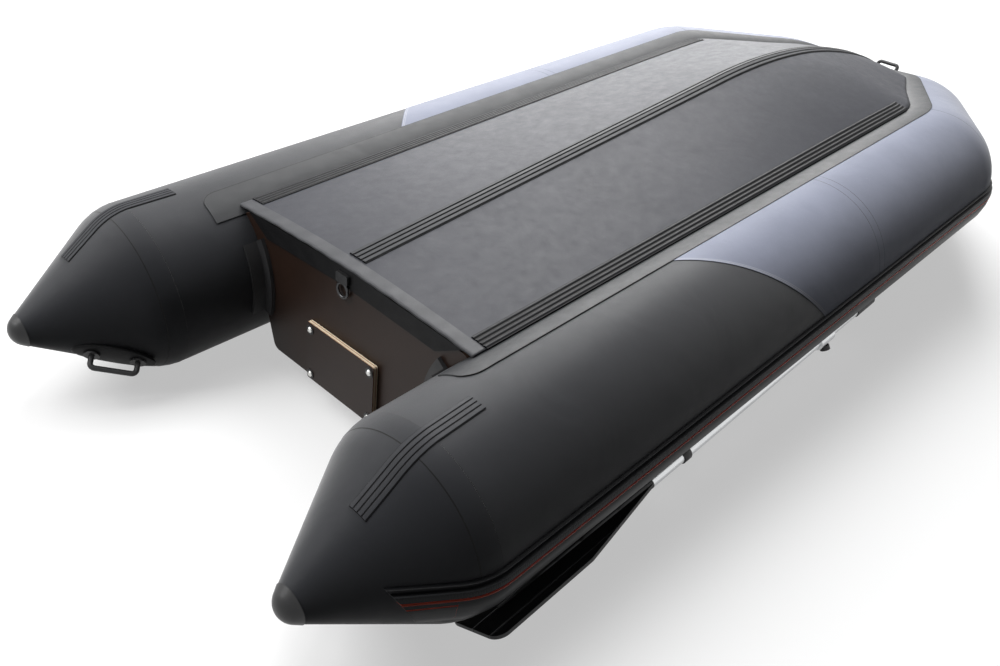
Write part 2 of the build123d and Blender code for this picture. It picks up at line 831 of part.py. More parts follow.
# Laid down: the nose and the curves into the stern cones touch the floor, so the bow end is tipped up
nose_run = runs_of["port"][2]
nose_low = nose_drop + tube_radius / sqrt(1 - nose_run.along.Z ** 2)
rest_reach = nose_x - cone_start
rest_drop = nose_low - cone_inset
pitch = atan2(rest_drop, rest_reach) - asin(cone_shoulder_radius / hypot(rest_drop, rest_reach))
tipped = Location((0, 0, 0), (0, -degrees(pitch), 0))
whole = Compound([piece.part.moved(tipped) for piece in pieces.values()]).bounding_box()
floor = Location((-(whole.min.X + whole.max.X) / 2, -(whole.min.Y + whole.max.Y) / 2, -whole.min.Z))
at_rest = floor * tipped

os.makedirs("parts", exist_ok=True)
for label, piece in pieces.items():
    laid = piece.part.moved(at_rest)
    laid.label = label
    export_step(laid, f"parts/{label}.step")
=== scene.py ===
import json
from math import asin, atan2, cos, hypot, pi, radians, sin, sqrt, tan

import bmesh
import bpy
import numpy as np
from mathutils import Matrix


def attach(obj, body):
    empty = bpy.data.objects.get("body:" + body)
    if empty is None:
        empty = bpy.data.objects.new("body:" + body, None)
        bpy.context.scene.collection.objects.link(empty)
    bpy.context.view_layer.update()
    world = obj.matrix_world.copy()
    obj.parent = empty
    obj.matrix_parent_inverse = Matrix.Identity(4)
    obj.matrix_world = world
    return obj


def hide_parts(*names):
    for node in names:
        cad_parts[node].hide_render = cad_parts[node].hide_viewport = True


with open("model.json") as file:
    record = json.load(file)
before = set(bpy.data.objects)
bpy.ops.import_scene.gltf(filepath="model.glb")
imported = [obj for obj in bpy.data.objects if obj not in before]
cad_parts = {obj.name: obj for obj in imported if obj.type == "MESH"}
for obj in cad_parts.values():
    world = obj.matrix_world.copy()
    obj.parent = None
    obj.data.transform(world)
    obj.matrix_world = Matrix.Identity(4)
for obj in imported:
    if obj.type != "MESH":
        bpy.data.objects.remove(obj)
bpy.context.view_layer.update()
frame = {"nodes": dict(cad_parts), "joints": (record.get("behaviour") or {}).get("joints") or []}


# How the boat lies: bottom up, on its nose and on the curves into its stern cones, so that the bow is tipped
# up. Its pieces are worked out on the level boat, in metres: x from the cone seam to the bow, port on -y and
# +z out of the bottom. The pin of the port rowlock, a joint of the frame, ties it to its place of rest.
tube_radius = 0.225
knots = np.array([[0, -0.560, 0], [2.313, -0.522, -0.016], [2.742, -0.280, -0.088], [2.990, 0, -0.188]])
cone_start, cone_shoulder_radius = 0.038, 0.180
rowlock_reach, rowlock_angle, oar_height = 1.520, radians(-59.5), 0.037

legs = np.diff(knots, axis=0)
run_length = np.linalg.norm(legs, axis=1)
run_along = legs / run_length[:, None]


def turned(vector, before, after):
    """The vector, turned the shortest way that takes the first direction to the second."""
    middle = before + after
    return vector - middle * (middle @ vector) / (1 + before @ after) + 2 * after * (before @ vector)


ahead, outward, upward = np.eye(3) * (1, -1, 1)
run_out, run_up = [], []
for along in run_along:
    outward, upward, ahead = turned(outward, ahead, along), turned(upward, ahead, along), along
    run_out.append(outward)
    run_up.append(upward)


def on_run(run, distance, angle, radius):
    """Points on the side, shoulder or nose run of the port tube: distance along its axis, then radius away
    from it at that angle, where 0 is outermost and 90 degrees is up."""
    distance, angle, radius = np.broadcast_arrays(distance, angle, radius)
    radial = np.cos(angle)[..., None] * run_out[run] + np.sin(angle)[..., None] * run_up[run]
    return knots[run] + distance[..., None] * run_along[run] + radius[..., None] * radial


nose_low = tube_radius / sqrt(1 - run_along[2][2] ** 2) - knots[3][2]
rest_reach = knots[3][0] - cone_start
rest_drop = nose_low - (tube_radius - cone_shoulder_radius)
pitch = atan2(rest_drop, rest_reach) - asin(cone_shoulder_radius / hypot(rest_drop, rest_reach))
tip = np.array([[cos(pitch), 0, -sin(pitch)], [0, 1, 0], [sin(pitch), 0, cos(pitch)]])
port_pin = next(joint for joint in frame["joints"] if joint["name"] == "port_oar_swing")
pin_spot = on_run(0, rowlock_reach, rowlock_angle, tube_radius + oar_height)
rest_shift = np.array(port_pin["pos_m"]) - tip @ pin_spot


def lay(points):
    """Points of the level boat, turned by the pitch about y and shifted to where the boat rests."""
    return np.asarray(points, float) @ tip.T + rest_shift


# Aft tubes: each is a straight tube of black coated fabric that curves in to a stern cone. The cone is cut
# from flat cloth and joined to the tube with a glued strap, whose edges show as two fine rings. The fore end
# is cut on a slant, and the grey fore tube laps over it.
cone_bend, cone_tip_x, cone_tip_radius, cap_length = 0.060, -0.260, 0.041, 0.030
strap_width, strap_lift, strap_step, strap_lead = 0.048, 0.0007, 0.0004, 0.006
cut_chine = radians(126)
cut_start, cut_slope = 0.799, 0.96
cut_tuck, cap_tuck, weld_distance = 0.03, 0.001, 1e-6
black_cloth = (0.017, 0.018, 0.0215)
seam_dark = (0.004, 0.004, 0.004)

cone_inset = tube_radius - cone_shoulder_radius
cone_slant = atan2(cone_inset, cone_bend - cone_tip_x)
cone_slant += asin((cone_shoulder_radius - cone_tip_radius) / hypot(cone_bend - cone_tip_x, cone_inset))
cone_curve_end = cone_bend - cone_shoulder_radius * sin(cone_slant)
cap_x = cone_tip_x - cone_tip_radius + cap_length


def cone_radius(x):
    """Radius along the tube and cone: the tube's own, then a circle's curve, then the straight slope that
    touches that circle."""
    into_curve = np.clip(x, cone_curve_end, cone_bend) - cone_bend
    curve = cone_inset + np.sqrt(cone_shoulder_radius ** 2 - into_curve ** 2)
    return curve + np.minimum(x - cone_curve_end, 0) * tan(cone_slant)


def cut_line(angle):
    """Place of the slanting cut: aftmost at the chine, and further forward the further round the tube."""
    away = np.abs((angle - cut_chine + pi) % (2 * pi) - pi)
    return cut_start + cut_slope * tube_radius * away


def piece_from_grid(name, grid, wrap=False, flip=False, values=None, crease=50):
    """A mesh piece from one grid of points of the level boat, or from several stacked ones. Each cell is one
    face, and wrapping joins the last column to the first. Values are named numbers, one for each point."""
    points = grid.reshape((-1,) + grid.shape[-3:])
    index = np.arange(points[..., 0].size).reshape(points.shape[:3])
    if wrap:
        index = np.concatenate([index, index[:, :, :1]], axis=2)
    faces = np.stack([index[:, :-1, :-1], index[:, 1:, :-1], index[:, 1:, 1:], index[:, :-1, 1:]], axis=-1)
    faces = faces.reshape(-1, 4)[:, ::-1 if flip else 1]
    mesh = bpy.data.meshes.new(name)
    mesh.from_pydata(lay(points.reshape(-1, 3)).tolist(), [], faces.tolist())
    for label, numbers in (values or {}).items():
        attribute = mesh.attributes.new(label, "FLOAT", "POINT")
        numbers = np.broadcast_to(numbers, points.shape[:3]).astype(np.float32)
        attribute.data.foreach_set("value", numbers.ravel())
    welded = bmesh.new()
    welded.from_mesh(mesh)
    bmesh.ops.remove_doubles(welded, verts=welded.verts, dist=weld_distance)
    welded.to_mesh(mesh)
    welded.free()
    mesh.polygons.foreach_set("use_smooth", np.ones(len(mesh.polygons), bool))
    mesh.set_sharp_from_angle(angle=radians(crease))
    piece = bpy.data.objects.new(name, mesh)
    bpy.context.scene.collection.objects.link(piece)
    return piece


def new_finish(name):
    """An empty material with its principled shader."""
    material = bpy.data.materials.new(name)
    material.use_nodes = True
    tree = material.node_tree
    return material, tree, tree.nodes["Principled BSDF"]


def fill(tree, node, inputs):
    """Sets inputs of a node. Each is a number, a colour, or another node's output joined to it."""
    for label, value in inputs.items():
        if isinstance(value, bpy.types.NodeSocket):
            tree.links.new(value, node.inputs[label])
        else:
            node.inputs[label].default_value = value


def put(tree, kind, inputs=None, **settings):
    """A new node with these inputs and settings."""
    made = tree.nodes.new(kind)
    for label, value in settings.items():
        setattr(made, label, value)
    fill(tree, made, inputs or {})
    return made


def own_value(tree, label):
    """The piece's named number at each point."""
    return put(tree, "ShaderNodeAttribute", attribute_name=label).outputs["Fac"]


def own_place(tree):
    """The point's own coordinates on the piece."""
    return put(tree, "ShaderNodeTexCoord").outputs["Object"]


def tinted(tree, share, first, second):
    """A colour between two others. Each is a plain colour or another node's output."""
    first, second = [c if isinstance(c, bpy.types.NodeSocket) else (*c, 1) for c in (first, second)]
    return put(
        tree, "ShaderNodeMix", {"Factor": share, "A": first, "B": second}, data_type="RGBA").outputs["Result"]


def mottle(tree, place, scale, detail, rough=0.5, twist=0.0):
    """Noise between 0 and 1 whose patches get smaller as the scale rises."""
    noise = put(tree, "ShaderNodeTexNoise", {
        "Vector": place, "Scale": scale, "Detail": detail, "Roughness": rough, "Distortion": twist})
    return noise.outputs["Fac"]


def ranged(tree, value, low, high, to_low=0.0, to_high=1.0, ease="LINEAR"):
    """The value carried from one range to another, and held at its ends."""
    return put(tree, "ShaderNodeMapRange", {
        "Value": value, "From Min": low, "From Max": high, "To Min": to_low, "To Max": to_high},
        interpolation_type=ease).outputs["Result"]


def worked(tree, operation, *numbers):
    """One sum, worked out on plain numbers or other nodes' outputs."""
    return put(tree, "ShaderNodeMath", dict(enumerate(numbers)), operation=operation).outputs[0]


def clouded(tree, place, colour, scale, spread):
    """A colour that drifts a little darker and paler from place to place."""
    dark, pale = [[c * (1 + drift) for c in colour] for drift in (-spread, spread)]
    return tinted(tree, mottle(tree, place, scale, 5.0, 0.6), dark, pale)


def lined(tree, tint, lines):
    """The colour with lines on it: each is the name of a value, where its line lies, half its width and its
    colour."""
    for label, middle, half_width, colour in lines:
        tint = tinted(tree, worked(tree, "COMPARE", own_value(tree, label), middle, half_width), tint, colour)
    return tint


def bumped(tree, height, strength, distance, under=None):
    """The surface's direction over a height, on top of another bump."""
    inputs = {"Height": height, "Strength": strength, "Distance": distance}
    if under is not None:
        inputs["Normal"] = under
    return put(tree, "ShaderNodeBump", inputs).outputs["Normal"]


def coated_cloth(name, colour, rough=0.46, sheen=0.3, bloom=0.0, lines=()):
    """Coated fabric: a colour that clouds a little over a hand's width, fine grain, soft wrinkles, scuffs
    that change its polish, a pale bloom where light grazes it, and lines."""
    material, tree, shader = new_finish(name)
    place = own_place(tree)
    tint = lined(tree, clouded(tree, place, colour, 7.0, 0.16), lines)
    dust = ranged(tree, mottle(tree, place, 160.0, 4.0, 0.75), 0.62, 0.82, 0.0, 0.35)
    scuff = mottle(tree, place, 30.0, 6.0, 0.7)
    grain = bumped(tree, mottle(tree, place, 900.0, 2.0), 0.18, 0.0006)
    ripple = mottle(tree, place, 5.0, 3.0, twist=0.6)
    fill(tree, shader, {
        "Base Color": tinted(tree, dust, tint, [c * 2.2 + 0.01 for c in colour]),
        "Roughness": ranged(tree, scuff, 0.3, 0.75, rough - 0.05, rough + 0.08),
        "Normal": bumped(tree, ripple, 0.35, 0.006, grain),
        "Specular IOR Level": sheen, "Sheen Weight": bloom, "Sheen Roughness": 0.5})
    return material


def dress(piece, material, slot, *replaced, body="hull"):
    """Gives a new piece its material, the body it moves with and the solids it stands for. Slot: not used."""
    piece.data.materials.append(material)
    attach(piece, body)
    if replaced:
        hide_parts(*replaced)


sides = (("port", False), ("starboard", True))


def mirrored(points):
    """The same points on the starboard side."""
    return points * np.array([1, -1, 1])


def dress_pair(name, grid, material, slot, *replaced, flip=False, on_oar=False, **details):
    """The port piece from its grid and the starboard one from the mirror image, with its faces turned round.
    Each stands for the solids of its own side."""
    for side, other in sides:
        piece = piece_from_grid(
            f"{side}_{name}", mirrored(grid) if other else grid, flip=flip != other, **details)
        dress(
            piece, material, slot, *[f"{side}_{solid}" for solid in replaced],
            body=f"{side}_oar" if on_oar else "hull")


ring = np.linspace(0, 2 * pi, 144, endpoint=False)
strap_edge = np.array([-0.002, -strap_step, 0.0, 0.0005, 0.0009])
cone_rows = np.concatenate([
    np.linspace(cap_x - cap_tuck, -strap_lead, 56), strap_edge, [strap_width / 2],
    strap_width - strap_edge[::-1]])
tail = np.broadcast_to(cone_rows[:, None], (len(cone_rows), len(ring)))
cut_end = cut_line(ring) + cut_tuck
straight = cone_rows[-1] + (cut_end - cone_rows[-1]) * np.linspace(0, 1, 48)[1:, None]
tube_along = np.concatenate([tail[:1], tail, straight, straight[-1:]])
on_strap = (tube_along > strap_step) & (tube_along < strap_width - strap_step)
skin_radius = cone_radius(tube_along) + strap_lift * on_strap
skin_radius[[0, -1]] = 0
tube_skin = on_run(0, tube_along, ring, skin_radius)
tube_skin[-1] = tube_skin[-1].mean(0)
black_fabric = coated_cloth("black_coated_fabric", black_cloth, sheen=0.07, bloom=0.4, lines=(
    ("along", 0.0, 0.0012, seam_dark), ("along", strap_width, 0.0008, seam_dark)))
dress_pair(
    "aft_tube", tube_skin, black_fabric, "black_fabric", "tube_aft", "stern_cone", wrap=True,
    values={"along": tube_along})


# Cone ends: a round cap of moulded black plastic is glued over the tip of each stern cone, where it closes
# the fabric.
cap_plastic = (0.014, 0.014, 0.015)


def moulded(name, colour, rough, sheen=0.4, grain=420.0):
    """Moulded plastic or rubber: one colour, slightly clouded, with a fine grain and rubbed patches."""
    material, tree, shader = new_finish(name)
    place = own_place(tree)
    rubbed = mottle(tree, place, 26.0, 5.0, 0.65)
    fill(tree, shader, {
        "Base Color": clouded(tree, place, colour, 22.0, 0.22),
        "Roughness": ranged(tree, rubbed, 0.3, 0.7, rough - 0.08, rough + 0.08),
        "Normal": bumped(tree, mottle(tree, place, grain, 3.0), 0.22, 0.0008),
        "Specular IOR Level": sheen})
    return material


def paint(material, *names):
    """Gives solids of the frame their material."""
    for name in names:
        frame["nodes"][name].data.materials.clear()
        frame["nodes"][name].data.materials.append(material)


black_plastic = moulded("black_moulded_plastic", cap_plastic, 0.42)
paint(black_plastic, "port_cone_cap", "starboard_cone_cap")


# Fore collar: the blue-grey front of both tubes with the shoulders and the nose, cut from coated fabric in
# mitred lengths and glued at the mitres. Its aft edges lap over the black tubes, and a strap seam rings each
# side.
grey_cloth = (0.19, 0.205, 0.265)
# Seams are dark lines; the pale colour is a painted highlight beside the lapped cut edge.
grey_seam, grey_painted_highlight = (0.035, 0.037, 0.047), (0.33, 0.34, 0.38)
lap_lift, lap_tuck = 0.0012, -0.001
bend_reach = (0.070, 0.070, 0.070)
side_seam, side_seam_width = 1.553, 0.030
lap_limit, row_gap = 1.49, 0.03

run_ends = np.concatenate([[0], np.cumsum(run_length)])
nose_station = run_ends[3]


def corners(angle, radius):
    """Where the straight lines at these angles and radii start and where they meet the two mitres and the
    boat's middle plane. A mitre is the plane that halves the bend."""
    angle, radius = np.broadcast_arrays(angle, radius)
    halving = [run_along[0] + run_along[1], run_along[1] + run_along[2], np.array([0.0, 1, 0])]
    found = [on_run(0, 0.0, angle, radius)]
    for run, normal in enumerate(halving):
        base = on_run(run, 0.0, angle, radius)
        reach = ((knots[run + 1] - base) @ normal) / (run_along[run] @ normal)
        found.append(base + reach[..., None] * run_along[run])
    return np.array(found)


def on_straights(station, angle, radius):
    """Points on the port tube with sharp bends: the station, a length along the axes, is taken as a share of
    its run between that run's two mitres."""
    station, angle, radius = np.broadcast_arrays(station, angle, radius)
    run = np.clip(np.searchsorted(run_ends, station, side="right") - 1, 0, 2)
    share = ((station - run_ends[run]) / run_length[run])[..., None]
    spots = corners(angle, radius)
    begin, end = [np.take_along_axis(spots, (run + step)[None, ..., None], axis=0)[0] for step in (0, 1)]
    return begin + (end - begin) * share


def on_collar(station, angle, radius):
    """Points on both tubes from stern to stern round the bow. Each bend is a quadratic curve between the
    points before and after its mitre, and past the nose the points are the mirror images of the port ones."""
    station, angle, radius = np.broadcast_arrays(station, angle, radius)
    near = np.minimum(station, 2 * nose_station - station)
    points = on_straights(near, angle, radius)
    for knot, reach in zip(run_ends[1:], bend_reach):
        share = ((near - knot + reach) / (2 * reach))[..., None]
        before, mitre = on_straights(knot - reach, angle, radius), on_straights(knot, angle, radius)
        after = mirrored(before) if knot == nose_station else on_straights(knot + reach, angle, radius)
        curve = (1 - share) ** 2 * before + 2 * share * (1 - share) * mitre + share ** 2 * after
        points = np.where((share > 0) & (share < 1), curve, points)
    return np.where((station > nose_station)[..., None], mirrored(points), points)


def station_at(distance, angle):
    """Station of a point that lies this distance along the side run, at this angle."""
    begin, end = corners(angle, tube_radius)[:2]
    return distance * run_length[0] / ((end - begin) @ run_along[0])


def collar_rows(start, end):
    """Stations from start to end, one row gap apart and closer together in the bends."""
    bends = np.concatenate([run_ends[1:], 2 * nose_station - run_ends[1:3]])
    reaches = np.array([*bend_reach, *bend_reach[:2]])
    close = (bends[:, None] + reaches[:, None] * np.linspace(-1, 1, 17)).ravel()
    rows = np.concatenate([np.arange(start, end, row_gap), close, [end]])
    return np.unique(np.clip(rows, start, end).round(4))


lap = station_at(cut_line(ring), ring)
aft_rows = lap + (lap_limit - lap) * np.linspace(0, 1, 30)[:-1, None]
middle_rows = np.tile(collar_rows(lap_limit, 2 * nose_station - lap_limit)[:, None], len(ring))
collar_station = np.concatenate([
    aft_rows[:1], aft_rows[:1], aft_rows, middle_rows,
    2 * nose_station - aft_rows[::-1], 2 * nose_station - aft_rows[:1], 2 * nose_station - aft_rows[:1]])
collar_radius = np.full(collar_station.shape, tube_radius + lap_lift)
collar_radius[[1, -2]] = tube_radius + lap_tuck
collar_radius[[0, -1]] = 0
collar = on_collar(collar_station, ring, collar_radius)
collar[[0, -1]] = collar[[0, -1]].mean(1, keepdims=True)
port_half = collar * np.array([1, 0, 1]) - np.abs(collar) * np.array([0, 1, 0])
collar_places = {
    label: (port_half - knots[knot]) @ (way / np.linalg.norm(way)) for label, knot, way in (
        ("along_side", 0, run_along[0]), ("past_shoulder", 1, run_along[0] + run_along[1]),
        ("past_nose", 2, run_along[1] + run_along[2]))}
collar_places["past_middle"] = collar[..., 1]
collar_places["from_cut"] = np.minimum(collar_station, 2 * nose_station - collar_station) - lap
# Two pale lines just past the cut edge are painted highlights along the lapped edge.
grey_fabric = coated_cloth("grey_coated_fabric", grey_cloth, rough=0.45, sheen=0.03, bloom=0.25, lines=(
    ("along_side", side_seam, 0.0008, grey_seam),
    ("along_side", side_seam + side_seam_width, 0.0008, grey_seam),
    ("past_shoulder", 0.0, 0.0014, grey_seam), ("past_nose", 0.0, 0.0010, grey_seam),
    ("past_middle", 0.0, 0.0010, grey_seam), ("from_cut", 0.0, 0.0012, seam_dark),
    ("from_cut", 0.0065, 0.0013, grey_painted_highlight), ("from_cut", 0.0125, 0.0010, grey_painted_highlight)))
fore_collar = piece_from_grid("fore_collar", collar, wrap=True, values=collar_places)
dress(fore_collar, grey_fabric, "blue_grey_fabric", *[
    name + part for name, other in sides for part in ("_tube_fore", "_bow_shoulder", "_bow_nose")])


# Bottom: two panels of dark coated fabric, drawn over the air keel from the keel line to the chines on the
# tubes. The keel line rises straight to its crown and then falls to the bow in one arc.
transom_x = 0.302
chine_aft_fold, chine_fore_fold = 31, 22
keel_aft_height, keel_crown_height = 0.2163, 0.3003
keel_crown_setback, keel_end_setback, keel_end_rise = 0.513, 0.050, 0.039
middle_setback, fore_setback = 0.259, 0.060
panel_lift, panel_swell, panel_thickness = 0.0063, 0.004, 0.004
bottom_cloth = (0.033, 0.034, 0.041)

keel_end_height = tube_radius + knots[3][2] + keel_end_rise
keel_crown_x, keel_end_x = knots[1][0] - keel_crown_setback, knots[3][0] - keel_end_setback
keel_slope = (keel_crown_height - keel_aft_height) / (keel_crown_x - transom_x)
keel_rise = atan2(keel_slope, 1)
keel_fall = atan2(keel_end_height - keel_crown_height, keel_end_x - keel_crown_x)
keel_chord = hypot(keel_end_x - keel_crown_x, keel_end_height - keel_crown_height)
keel_arc = keel_chord / (2 * sin(keel_rise - keel_fall))
keel_arc_x = keel_crown_x + keel_arc * sin(keel_rise)
keel_arc_z = keel_crown_height - keel_arc * cos(keel_rise)


def keel_height(x):
    """Height of the keel line: a straight rise up to the crown, then the circle that carries it on."""
    arc = keel_arc_z + np.sqrt(keel_arc ** 2 - (np.maximum(x, keel_crown_x) - keel_arc_x) ** 2)
    return np.where(x < keel_crown_x, keel_aft_height + keel_slope * (x - transom_x), arc)


def side_section(x):
    """Station, fold angle and keel place of a section that stands square across the boat."""
    fold = chine_aft_fold + (chine_fore_fold - chine_aft_fold) * x / knots[1][0]
    return float(station_at(x / knots[1][0] * run_length[0], radians(90 + fold))), fold, x


def bow_section(run, share, fold, keel_share):
    """Station, fold angle and keel place of a section whose chine is on the shoulder or the nose."""
    keel_x = knots[1][0] + keel_share * (keel_end_x - knots[1][0])
    return run_ends[run] + share * run_length[run], fold, keel_x


bottom_stations, bottom_folds, bottom_keel = np.array([
    side_section(transom_x), side_section(keel_crown_x), side_section(knots[1][0] - middle_setback),
    side_section(knots[1][0] - fore_setback), bow_section(1, 0.5, 20, 0.4), bow_section(1, 0.93, 15, 0.68),
    bow_section(2, 0.3, 15.5, 0.87), bow_section(2, 0.6, 16, 1)]).T


def chine_angle(station):
    """Angle on the tube at which the bottom meets it."""
    return radians(90) + np.radians(np.interp(station, bottom_stations, bottom_folds))


def bottom_at(station, across):
    """Points of the bottom: straight from the keel line to the chine line, with a slight swell between them.
    Across runs from -1 at the port chine through 0 on the keel to 1 at the starboard chine."""
    station, across = np.broadcast_arrays(station, across)
    chine = on_collar(station, chine_angle(station), tube_radius + panel_lift)
    keel_x = np.interp(station, bottom_stations, bottom_keel)
    keel = np.stack([keel_x, 0 * keel_x, keel_height(keel_x)], axis=-1)
    share = np.abs(across)[..., None]
    points = keel + (chine - keel) * share
    points[..., 2] += panel_swell * (4 * share * (1 - share))[..., 0]
    return np.where((across > 0)[..., None], mirrored(points), points)


bottom_rows = collar_rows(bottom_stations[0], bottom_stations[-1])
across_bottom = np.linspace(-1, 1, 57)
bottom_grid = bottom_at(bottom_rows[:, None], across_bottom)
bottom_fabric = coated_cloth("bottom_coated_fabric", bottom_cloth, rough=0.50, sheen=0.13)
bottom = piece_from_grid("bottom_skin", bottom_grid, crease=4)
wall = bottom.modifiers.new("thickness", "SOLIDIFY")
wall.thickness, wall.offset = panel_thickness, -1
dress(bottom, bottom_fabric, "black_fabric", "port_bottom_panel", "starboard_bottom_panel")


# Hem of the bottom: its aft edge is doubled with a band of the same fabric, glued on top and turned down over
# the transom, a little wrinkled where it is pulled tight. It is coloured paler than the bottom, a painted
# highlight along the fold.
hem_width, hem_lift, hem_overhang, hem_turn = 0.030, 0.0012, 0.006, 0.006
hem_thickness, hem_pucker, edge_tuck = 0.0015, 0.0012, -0.001
# Paler than the bottom's cloth: a painted highlight along the fold.
hem_highlight_cloth = (0.046, 0.047, 0.051)

across_hem = np.linspace(-1, 1, 161)
edge_row = bottom_at(bottom_stations[0], across_hem)
fore_row = bottom_at(bottom_stations[0] + hem_width, across_hem)
pucker = hem_pucker * np.sin(31 * across_hem + 1.3) * np.sin(13 * across_hem)
hem_grid = []
for share, lift in ((1, edge_tuck), *[(share, hem_lift) for share in (1, 0.97, 0.5, 0.2, 0)]):
    row = edge_row + (fore_row - edge_row) * share
    row[:, 2] += lift + pucker * (1 - share) * (lift > 0)
    hem_grid.append(row)
hem_edge = hem_grid[-1]
for turn in np.linspace(0, pi, 9)[1:]:
    row = hem_edge.copy()
    row[:, 0] -= hem_overhang * sin(min(turn, pi / 2)) * (1 if turn <= pi / 2 else 1 - 0.25 * (1 + cos(turn)))
    row[:, 2] -= hem_turn * (1 - cos(turn)) / 2
    hem_grid.append(row)
hem_fabric = coated_cloth("hem_coated_fabric", hem_highlight_cloth, rough=0.46, sheen=0.16)
hem = piece_from_grid("bottom_hem", np.array(hem_grid), flip=True)
wall = hem.modifiers.new("thickness", "SOLIDIFY")
wall.thickness, wall.offset = hem_thickness, -1
dress(hem, hem_fabric, "black_fabric")


# Chine tapes: a strip of coated fabric on each tube covers the glued edge of the bottom, from the stern right
# round the bow. Its outer edge is finished with a thin black line.
tape_aft = 0.216
tape_lift = 0.0016
tape_corner = 0.045
tape_under, tape_edge_angles, tape_end_share = radians(7), (103.5, 95, 92.5, 90), 0.62
tape_cloth, tape_edge = (0.027, 0.028, 0.030), (0.003, 0.003, 0.003)

tape_rows = collar_rows(tape_aft, 2 * nose_station - tape_aft)
tape_ends = tape_aft + tape_corner * (1 - np.cos(np.linspace(0, pi / 2, 9)))
tape_rows = np.unique(np.concatenate([tape_rows, tape_ends, 2 * nose_station - tape_ends]))
near_rows = np.minimum(tape_rows, 2 * nose_station - tape_rows)
tape_inner = chine_angle(near_rows) + tape_under
tape_outer = np.radians(np.interp(near_rows, run_ends, tape_edge_angles))
to_end = np.clip((near_rows - tape_aft) / tape_corner, 0, 1)
end_curve = tape_end_share + (1 - tape_end_share) * np.sqrt(1 - (1 - to_end) ** 2)
tape_outer = tape_inner + (tape_outer - tape_inner) * end_curve
over_tape = np.array([0, 0, 0.25, 0.5, 0.75, 0.9, 0.97, 1, 1])
tape_angle = tape_inner[:, None] + (tape_outer - tape_inner)[:, None] * over_tape
tape_height = np.full(tape_angle.shape, tape_lift)
tape_height[:, [0, -1]] = edge_tuck
tape_height[[0, -1]] = edge_tuck
tape_grid = on_collar(tape_rows[:, None], tape_angle, tube_radius + lap_lift + tape_height)
tape_width = tube_radius * (tape_inner - tape_outer)[:, None]
tape_fabric = coated_cloth("tape_coated_fabric", tape_cloth, rough=0.46, sheen=0.15, lines=(
    ("from_edge", 0.0, 0.0028, tape_edge),))
tape = piece_from_grid("chine_tape", tape_grid, flip=True, values={"from_edge": (1 - over_tape) * tape_width})
dress(tape, tape_fabric, "black_fabric")


# Ribbed strakes: rubber strips with four ribs, glued along the keel and beside the chines, and a short flat
# one over each cone seam. Their ends are cut square.
rib_count, rib_height, rib_foot, strip_base, strip_tuck = 4, 0.0025, 0.1, 0.0020, -0.002
keel_strake_width, chine_strake_width, seam_strip_width = 0.062, 0.050, 0.047
strake_row_gap, strip_row_gap = 0.02, 0.008
keel_strake_start, keel_strake_end, chine_strake_start, chine_strake_end = 0.036, 0.004, 0.034, 0.030
chine_strake_inset = -0.002
seam_strip_angles, seam_strip_aft, seam_strip_fore = np.radians([83, 86]), -0.124, 0.178
seam_strip_lift, seam_strip_flatness = 0.0005, 0.6
strip_rubber, cone_rubber = (0.024, 0.025, 0.028), (0.028, 0.029, 0.033)
# Painted shade for the grooves and cut sides of the ribbed strips. It fades out from this share of the rib
# height up to the rib tops.
groove_painted_shade, groove_share = (0.0015, 0.0015, 0.002), 0.6
keel_fullness, chine_fullness, seam_fullness = 3.0, 1.0, 5.0

over_strip = np.linspace(-1, 1, 97)
wave = 0.5 - 0.5 * np.cos((over_strip + 1) * pi * rib_count)
over_strip = np.concatenate([[-1], over_strip, [1]])


def strip_rows(start, end, step):
    """Rows along a strip. The first and last are doubled, for the faces of its cut ends."""
    rows = np.linspace(start, end, int((end - start) / step) + 2)
    return np.concatenate([rows[:1], rows, rows[-1:]])


def strip_heights(count, fullness):
    """Height at each row and place across a strip: its base, plus ribs that rise and fall as a cosine, cut
    off flat at the top. The fuller they are, the narrower the grooves. The sides and ends go down into the
    fabric."""
    across = strip_base + rib_height * np.clip(fullness * wave - rib_foot, 0, 1)
    across = np.concatenate([[strip_tuck], across, [strip_tuck]])
    height = np.tile(across, (count, 1))
    height[[0, -1]] = strip_tuck
    return height


def ribbed_rubber(name, colour, sheen):
    """Rubber strip: rib tops have its colour, and the grooves and cut sides are painted dark as shade."""
    material, tree, shader = new_finish(name)
    place = own_place(tree)
    tint = clouded(tree, place, colour, 30.0, 0.25)
    rib_top = strip_base + rib_height
    # Grooves and cut sides painted dark by height, as shade.
    groove_shade_mask = ranged(tree, own_value(tree, "height"), strip_base + groove_share * rib_height, rib_top)
    rubbed = mottle(tree, place, 45.0, 5.0, 0.7)
    fill(tree, shader, {
        "Base Color": tinted(tree, groove_shade_mask, groove_painted_shade, tint),
        "Roughness": ranged(tree, rubbed, 0, 1, 0.38, 0.62),
        "Normal": bumped(tree, mottle(tree, place, 500.0, 2.0), 0.15, 0.0006),
        "Specular IOR Level": sheen})
    return material


strip_finish = ribbed_rubber("ribbed_strip_rubber", strip_rubber, 0.12)
up = np.array([0.0, 0, 1])

rows = strip_rows(
    bottom_stations[0] + keel_strake_start, bottom_stations[-1] - keel_strake_end, strake_row_gap)
chine_reach = np.abs(bottom_at(rows, -1.0)[:, 1])[:, None]
height = strip_heights(len(rows), keel_fullness)
base = bottom_at(rows[:, None], over_strip * keel_strake_width / 2 / chine_reach)
keel_strake = piece_from_grid("keel_ribbed_strake", base + height[..., None] * up, values={"height": height})
dress(keel_strake, strip_finish, "black_rubber", "keel_strake")

rows = strip_rows(
    bottom_stations[0] + chine_strake_start, bottom_stations[3] + chine_strake_end, strake_row_gap)
chine_reach = np.abs(bottom_at(rows, -1.0)[:, 1])[:, None]
height = strip_heights(len(rows), chine_fullness)
inset = chine_strake_inset + chine_strake_width / 2
base = bottom_at(rows[:, None], (inset + over_strip * chine_strake_width / 2) / chine_reach - 1)
dress_pair(
    "chine_ribbed_strake", base + height[..., None] * up, strip_finish, "black_rubber", "chine_strake",
    values={"height": height})

